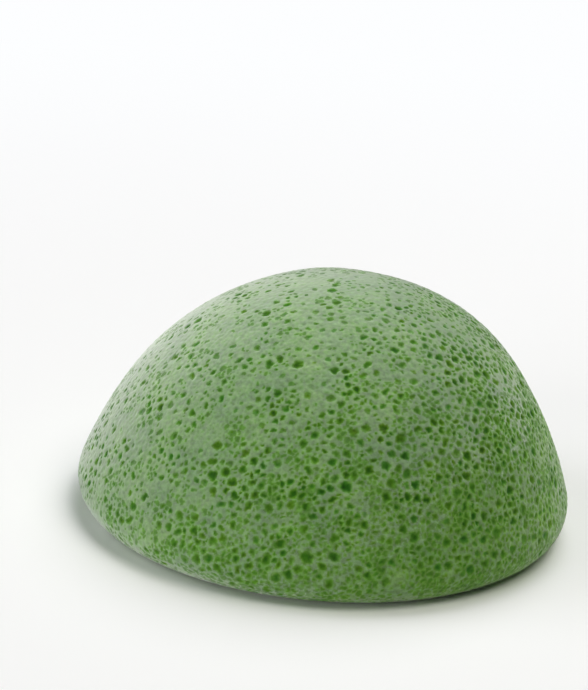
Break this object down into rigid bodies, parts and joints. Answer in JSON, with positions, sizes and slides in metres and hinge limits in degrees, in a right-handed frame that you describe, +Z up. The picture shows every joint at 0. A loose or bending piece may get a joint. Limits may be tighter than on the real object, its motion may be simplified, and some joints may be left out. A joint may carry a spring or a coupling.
{
  "type": "konjac sponge",
  "caption": "Half-ball konjac face sponge of damp green open-cell foam, with a domed washing side, a soft round rim and a flat base to rest on.",
  "frame": {"origin": "centre of the flat base, on the surface that the sponge rests on", "axes": "+Z up along the dome's axis, from the base to the crown; X and Y lie in the base, and the picture looks along +Y"},
  "size_m": [0.08, 0.08, 0.04],
  "materials": {
    "konjac_foam": "matte, damp, finely porous foam"
  },
  "bodies": {
    "root": {"sponge_body": "konjac_foam"}
  },
  "joints": []
}
